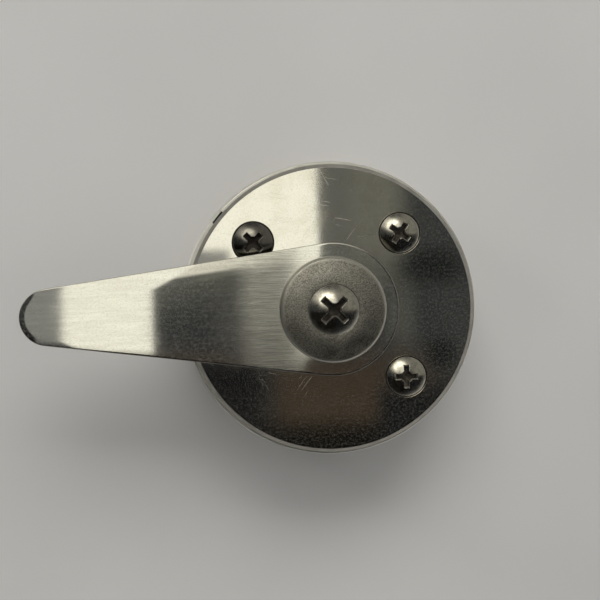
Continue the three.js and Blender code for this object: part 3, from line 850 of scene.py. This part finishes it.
def lever():
    """The lever: a flat tapered bar with round ends, rounded edges and a slight bend by the hub."""
    low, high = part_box("lever")
    hub = high.x
    length = -low.x - LEVER_TIP_RADIUS
    touch = math.pi - math.acos((hub - LEVER_TIP_RADIUS) / length)
    around = lever_outline(hub, length, touch)
    vertices = []
    for x, y, angle in around:
        steps = lever_edge(x, angle, touch)
        for inset, height in steps:
            px, py = x - inset * math.cos(angle), y - inset * math.sin(angle)
            vertices.append((px, py, low.z + height + lever_rise(px)))
    bar = mesh_piece("brushed_lever", vertices, lever_faces(len(around), len(steps)))
    hole = SPINDLE_SQUARE / 2
    hole_low, hole_high = (-hole, -hole, low.z - MM), (hole, hole, low.z + 2 * LEVER_THICKNESS)
    carve(bar, [box("square_hole", hole_low, hole_high)])
    along = bar.data.uv_layers.new(name="along")
    for loop in bar.data.loops:
        spot = bar.data.vertices[loop.vertex_index].co
        along.data[loop.index].uv = (spot.x / UV_SPAN, spot.y / UV_SPAN)
    return smooth(bar, sharp_above=45, keep_faces_flat=False)


def mark_lever(bar):
    """Gives the side walls and their fillets the matte edge finish."""
    bar.data.materials.append(EDGE_STEEL)
    flatness = 0.985
    for polygon in bar.data.polygons:
        if abs(polygon.normal.z) < flatness:
            polygon.material_index = 1


def hub_washer():
    """The blasted washer: crowned towards a rounded rim, with a countersink for the centre screw."""
    seat = extent("centre_screw")[1] + 0.12 * MM
    hole = 2.65 * MM
    seat_depth = 2.7 * MM
    crown_from, crown_drop = 7.4 * MM, 0.69 * MM
    corners = [
        (hole, WASHER_BACK, 0.1 * MM),
        (WASHER_RADIUS, WASHER_BACK, 0.2 * MM),
        (WASHER_RADIUS, WASHER_FRONT - crown_drop, 0.9 * MM),
        (crown_from, WASHER_FRONT, 20.0 * MM),
        (seat, WASHER_FRONT, 0.10 * MM),
        (hole, WASHER_FRONT - seat_depth, 0.1 * MM),
    ]
    return smooth(turned("blasted_washer", rounded(corners, steps=8), sides=240))


def collar(name, inner, outer, back, front, fillet):
    """A plain ring with small fillets."""
    corners = [
        (inner, back, fillet),
        (outer, back, fillet),
        (outer, front, fillet),
        (inner, front, fillet),
    ]
    return smooth(turned(name, rounded(corners), sides=160))


# ---------------------------------------------------------------- the object

FRICTION_HOLE = 6.7 * MM
SPACER_HOLE = 6.55 * MM


def build_object():
    """Every visible piece on its body, and the CAD pieces inside in their metals."""
    drum = dress(housing(), FIXED, "housing", SATIN_STEEL)
    mark_drum(drum)
    dress(gasket(), FIXED, "cover_gasket", METALS["rubber"])
    plate = dress(cover_plate(), FIXED, "cover_plate", METALS["polished_steel"])
    mark_plate(plate)
    for number, node in enumerate(COVER_SCREWS):
        # The first cover screw gets the darker steel: a dull film with painted shade that dims its
        # highlight.
        steel = METALS["screw_steel"] if number else TARNISHED_AND_SHADED_STEEL
        dress(cover_screw(number), FIXED, node, steel)
    friction = collar(
        "friction_ring", FRICTION_HOLE, FRICTION_RADIUS, FRICTION_BACK, FRICTION_FRONT, 0.15 * MM
    )
    dress(friction, FIXED, "friction_washer", METALS["nylon"])
    spacer = collar("spacer_collar", SPACER_HOLE, SPACER_RADIUS, SPACER_BACK, SPACER_FRONT, 0.2 * MM)
    dress(spacer, TURNING, "lever_spacer", METALS["machined_steel"])
    bar = dress(lever(), TURNING, "lever", METALS["brushed_steel"])
    mark_lever(bar)
    dress(hub_washer(), TURNING, "hub_washer", METALS["blasted_steel"])
    dress(centre_screw(), TURNING, "centre_screw", METALS["screw_steel"])

    slot_of = {part["node"]: part["material_slot"] for part in frame["record"]["subparts"]}
    for node, piece in frame["nodes"].items():
        piece.data.materials.clear()
        piece.data.materials.append(METALS[slot_of[node]])


# ---------------------------------------------------------------- studio


def floor():
    """A wide sheet of pale matte paper."""
    half = 3.0
    light, dark = (0.70, 0.695, 0.68), (0.66, 0.655, 0.64)
    corners = [(-half, -half, 0), (half, -half, 0), (half, half, 0), (-half, half, 0)]
    sheet = mesh_piece("floor", corners, [(0, 1, 2, 3)])
    finish = Finish("paper")
    fibres = finish.speckle(0.9, detail=6.0)
    clouds = finish.speckle(0.012, detail=2.0)
    colour = finish.mix(finish.span(clouds, 0.3, 0.7), dark, light)
    relief = finish.bump(fibres, 0.01)
    sheet.data.materials.append(finish.surface(Base_Color=colour, Roughness=0.85, Normal=relief))


def soft_light(name, place, target, size, watts, colour, spread=180):
    """A soft box that lights the matte surfaces; the metal reflects the world instead."""
    data = bpy.data.lights.new(name, "AREA")
    data.shape = "RECTANGLE"
    data.size, data.size_y = size
    data.energy = watts
    data.spread = math.radians(spread)
    data.color = colour
    lamp = bpy.data.objects.new(name, data)
    bpy.context.scene.collection.objects.link(lamp)
    lamp.location = place
    lamp.rotation_euler = (Vector(target) - Vector(place)).to_track_quat("-Z", "Y").to_euler()
    lamp.visible_glossy = False
    lamp.visible_camera = False


class Sky(Finish):
    """The world's nodes. A place on the sky is a slope: how far a direction leans per unit of height."""

    def __init__(self):
        world = bpy.data.worlds.new("studio")
        world.use_nodes = True
        world.cycles.sampling_method = "NONE"
        bpy.context.scene.world = world
        self.tree = world.node_tree
        self.tree.nodes.clear()
        direction = self.add("ShaderNodeTexCoord").outputs["Generated"]
        self.x, self.y, self.z = self.add("ShaderNodeSeparateXYZ", {0: direction}).outputs
        horizon, offset = 0.02, 0.009
        height = self.math("MAXIMUM", self.z, horizon)
        self.lean_x = self.math("SUBTRACT", self.math("DIVIDE", self.x, height), offset)
        self.lean_y = self.math("ADD", self.math("DIVIDE", self.y, height), offset)
        self.painted = None

    def rises(self, value, edge, soft):
        """0 below an edge and 1 above it, over a soft width."""
        return self.span(value, edge - soft, edge + soft)

    def falls(self, value, edge, soft):
        """1 below an edge and 0 above it, over a soft width."""
        return self.span(value, edge - soft, edge + soft, 1.0, 0.0)

    def both(self, *shares):
        """Where all the shares are."""
        share = shares[0]
        for other in shares[1:]:
            share = self.math("MULTIPLY", share, other)
        return share

    def box_light(self, azimuth, half_width, low, high):
        """1 over a soft box low on the sky: an azimuth range in degrees, and a range of the height z."""
        way = math.radians(azimuth)
        across = self.math("MULTIPLY", self.y, math.sin(way))
        along = self.math("MULTIPLY_ADD", self.x, math.cos(way), across)
        flat = self.math("SQRT", self.math("SUBTRACT", 1.0, self.math("MULTIPLY", self.z, self.z)))
        edge = math.cos(math.radians(half_width))
        facing = self.span(self.math("DIVIDE", along, flat), edge - 0.06, edge + 0.04)
        return self.both(facing, self.rises(self.z, low, 0.05), self.falls(self.z, high, 0.10))

    def glow(self, at_x, at_y, reach_x, reach_y, core):
        """1 in the middle of an ellipse of slopes, out to its core, and 0 outside it."""
        across = self.math("DIVIDE", self.math("SUBTRACT", self.lean_x, at_x), reach_x)
        along = self.math("DIVIDE", self.math("SUBTRACT", self.lean_y, at_y), reach_y)
        away = self.math("MULTIPLY_ADD", across, across, self.math("MULTIPLY", along, along))
        return self.span(self.math("SQRT", away), core, 1.0, 1.0, 0.0)

    def paint(self, share, colour):
        """Lays a colour over what is painted so far."""
        self.painted = self.mix(share, self.painted, colour)


# What the metal reflects from above, as linear light.
OVERHEAD = (0.042, 0.045, 0.046)
EAST_ROOM = (0.26, 0.255, 0.22)
SOUTH_ROOM = (0.020, 0.014, 0.010)
GREY_CARD, NEAR_CARD = (0.170, 0.172, 0.147), (0.135, 0.138, 0.128)
DARK_SPOT, GREY_SPOT, SPOT_EDGE = (0.010, 0.012, 0.013), (0.035, 0.040, 0.042), (0.085, 0.088, 0.080)
WARM_WALL = (0.060, 0.045, 0.032)
SHADE, DEEP_SHADE, COLD_SHADE = (0.009, 0.009, 0.010), (0.006, 0.005, 0.004), (0.009, 0.010, 0.011)
WEST_CARD = (0.22, 0.225, 0.215)
HAZE, WINDOW = (0.34, 0.33, 0.29), (0.75, 0.73, 0.65)
KEY, FAR_CARD = (3.00, 2.90, 2.48), (0.95, 0.93, 0.82)
PANEL, PANEL_CORNER = (1.30, 1.30, 1.16), (0.30, 0.305, 0.295)


def ceiling(sky):
    """What the metal sees above it: a long bright panel, a soft key, and the dark around them."""
    east, north = sky.lean_x, sky.lean_y
    sky.painted = OVERHEAD
    sky.paint(sky.rises(east, 0.45, 0.30), EAST_ROOM)
    sky.paint(sky.falls(north, -0.25, 0.16), SOUTH_ROOM)

    # A grey card to the north, nearer and duller in the west, with a dark spot in its corner.
    card = sky.both(
        sky.rises(north, -0.008, 0.035), sky.falls(east, 0.135, 0.012), sky.rises(east, 0.0, 0.05)
    )
    sky.paint(card, GREY_CARD)
    sky.paint(sky.both(card, sky.falls(east, 0.095, 0.012)), NEAR_CARD)
    sky.paint(sky.glow(0.155, -0.002, 0.040, 0.022, 0.2), DARK_SPOT)
    sky.paint(sky.glow(0.150, -0.040, 0.016, 0.040, 0.2), GREY_SPOT)
    sky.paint(sky.glow(0.132, -0.040, 0.016, 0.040, 0.2), SPOT_EDGE)

    # To the south, a warm wall between stretches of shade.
    warm = sky.both(
        sky.falls(north, -0.068, 0.022), sky.rises(east, 0.03, 0.02), sky.falls(east, 0.155, 0.03)
    )
    sky.paint(warm, WARM_WALL)
    sky.paint(sky.both(sky.falls(north, -0.068, 0.008), sky.falls(east, 0.03, 0.02)), SHADE)
    sky.paint(sky.falls(north, -0.118, 0.012), DEEP_SHADE)
    sky.paint(sky.both(sky.falls(north, -0.090, 0.014), sky.rises(east, 0.112, 0.010)), COLD_SHADE)

    # A pale card to the west, a last dark spot, and the soft lights that the domes and rims catch.
    west = sky.both(
        sky.falls(east, 0.0, 0.01), sky.rises(east, -0.045, 0.02), sky.rises(north, -0.05, 0.02)
    )
    sky.paint(west, WEST_CARD)
    sky.paint(sky.glow(0.161, -0.068, 0.018, 0.020, 0.2), DARK_SPOT)
    sky.paint(sky.glow(-0.2, 0.75, 1.2, 0.66, 0.2), HAZE)
    sky.paint(sky.glow(-0.80, 0.85, 0.65, 0.60, 0.3), WINDOW)
    sky.paint(sky.glow(-0.28, 0.53, 0.48, 0.43, 0.55), KEY)
    far = sky.both(
        sky.rises(north, 0.112, 0.030), sky.falls(north, 0.50, 0.10),
        sky.rises(east, -0.45, 0.10), sky.falls(east, 0.175, 0.020),
    )
    sky.paint(far, FAR_CARD)

    # The bright panel. Its west edge bows inwards in the south and steps outwards in the north.
    south = sky.math("MINIMUM", sky.math("ADD", north, 0.02), 0.0)
    bowed = sky.math("MULTIPLY_ADD", sky.math("MULTIPLY", south, south), -8.0, east)
    stepped = sky.math("MULTIPLY_ADD", sky.rises(north, 0.014, 0.004), 0.03, bowed)
    panel = sky.both(
        sky.rises(stepped, -0.006, 0.0016), sky.falls(east, 0.0700, 0.0014),
        sky.rises(north, -0.066, 0.004), sky.falls(north, 0.45, 0.10),
    )
    sky.paint(panel, PANEL)
    corner = sky.both(
        sky.falls(east, 0.003, 0.004), sky.falls(north, 0.014, 0.004),
        sky.rises(east, -0.045, 0.02), sky.rises(north, -0.055, 0.015),
    )
    sky.paint(corner, PANEL_CORNER)
    return sky.painted


ROOM_DARK, ROOM_LIGHT = (0.115, 0.115, 0.115), (0.56, 0.556, 0.547)
WEST_WALL, EAST_WALL, UPPER_WALL = (0.22, 0.218, 0.21), (0.60, 0.595, 0.57), (0.15, 0.15, 0.145)
WEST_BOX, EAST_BOX = (0.80, 0.79, 0.75), (0.85, 0.84, 0.80)
BACKDROP = (0.56, 0.558, 0.55)


def studio_world():
    """A plain grey room for the light, a more varied one for the metal, and a pale backdrop."""
    sky = Sky()
    across = sky.math("MULTIPLY_ADD", sky.x, 0.75, sky.math("MULTIPLY", sky.y, 0.55))
    plain = sky.mix(sky.span(across, -0.8, 0.8), ROOM_DARK, ROOM_LIGHT)
    walls = sky.mix(sky.span(sky.x, -0.9, 0.9), WEST_WALL, EAST_WALL)
    walls = sky.mix(sky.span(sky.z, 0.05, 0.50), walls, UPPER_WALL)
    walls = sky.mix(sky.box_light(135, 26, 0.30, 0.62), walls, WEST_BOX)
    walls = sky.mix(sky.box_light(315, 30, 0.14, 0.36), walls, EAST_BOX)
    reflected = sky.mix(sky.span(sky.z, 0.36, 0.56), walls, ceiling(sky))
    rays = sky.add("ShaderNodeLightPath").outputs
    lit = sky.mix(rays["Is Glossy Ray"], plain, reflected)
    seen = sky.mix(rays["Is Camera Ray"], lit, BACKDROP)
    background = sky.add("ShaderNodeBackground", {"Color": seen})
    sky.add("ShaderNodeOutputWorld", {"Surface": background.outputs[0]})


def camera():
    """The lens nearly above the plate, a little towards the lever and the far side."""
    distance = 300 * MM
    lean = Vector((-0.0873, 0.0409, 1.0))
    aim = Vector((-7.00 * MM, 2.11 * MM, PLATE_FACE))
    width_at_plate = 135.4 * MM
    roll = math.radians(1.4)
    data = bpy.data.cameras.new("camera")
    lens = bpy.data.objects.new("camera", data)
    bpy.context.scene.collection.objects.link(lens)
    eye = Vector((0, 0, PLATE_FACE)) + distance * lean
    lens.location = eye
    back = (eye - aim).normalized()
    up = Vector((math.sin(roll), math.cos(roll), 0))
    right = up.cross(back).normalized()
    up = back.cross(right)
    lens.rotation_mode = "QUATERNION"
    lens.rotation_quaternion = Matrix((right, up, back)).transposed().to_quaternion()
    data.sensor_width = 36.0
    data.lens = data.sensor_width * (eye - aim).length / width_at_plate
    data.clip_start, data.clip_end = 0.01, 20.0
    bpy.context.scene.camera = lens


def studio():
    """The floor, the world, a soft key from the north, a faint low side light, and the lens."""
    floor()
    studio_world()
    soft_light(
        "key", place=(0.05, 1.30, 1.00), target=(0, 0, 0), size=(1.5, 0.8),
        watts=15.5, colour=(1.0, 0.98, 0.94),
    )
    soft_light(
        "side", place=(-0.82, 0.57, 0.05), target=(0, 0, 0.015), size=(0.36, 0.08),
        watts=0.22, colour=(1.0, 0.98, 0.92), spread=24,
    )
    camera()
    bpy.context.scene.view_settings.view_transform = "Standard"


build_object()
studio()
